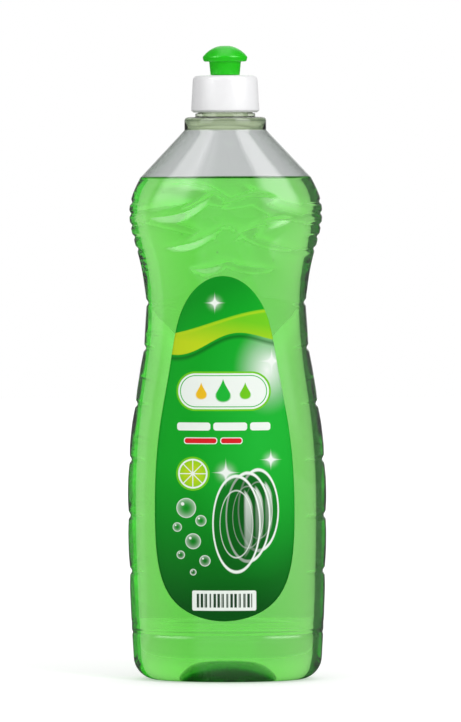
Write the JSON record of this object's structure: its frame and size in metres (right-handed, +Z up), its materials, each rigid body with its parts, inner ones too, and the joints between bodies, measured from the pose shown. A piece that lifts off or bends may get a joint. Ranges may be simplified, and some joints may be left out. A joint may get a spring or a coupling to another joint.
{
  "type": "dish soap bottle",
  "caption": "Clear waisted bottle of green dish soap with a film label, a white screw cap and a green push-pull spout.",
  "frame": {"origin": "middle of the base, on the surface that the bottle stands on", "axes": "+Z up along the neck, the label faces -Y, the bottle is widest along X"},
  "size_m": [0.0874, 0.0563, 0.2788],
  "materials": {
    "bottle": "clear blown PET",
    "dish_soap": "clear green liquid",
    "front_label": "printed glossy film",
    "screw_cap": "smooth moulded polypropylene",
    "sealing_ring": "soft foamed polyethylene",
    "pull_spout": "smooth moulded polyethylene"
  },
  "bodies": {
    "bottle_body": {"bottle": "bottle", "dish_soap": "dish_soap", "front_label": "front_label"},
    "liner": {"sealing_ring": "sealing_ring"},
    "cap": {"screw_cap": "screw_cap"},
    "spout": {"pull_spout": "pull_spout"}
  },
  "joints": [
    {"name": "cap_rise", "type": "slide", "parent": "bottle_body", "child": "liner", "axis": [0, 0, 1], "range_m": [0, 0.00635]},
    {"name": "cap_turn", "type": "hinge", "parent": "liner", "child": "cap", "pos_m": [0, 0, 0.2575], "axis": [0, 0, 1], "range_deg": [0, 540]},
    {"name": "spout_pull", "type": "slide", "parent": "cap", "child": "spout", "axis": [0, 0, 1], "range_m": [0, 0.005]}
  ],
  "couplings": [
    {"joint": "cap_rise", "follows": "cap_turn", "m_per_rad": 0.00067371}
  ]
}
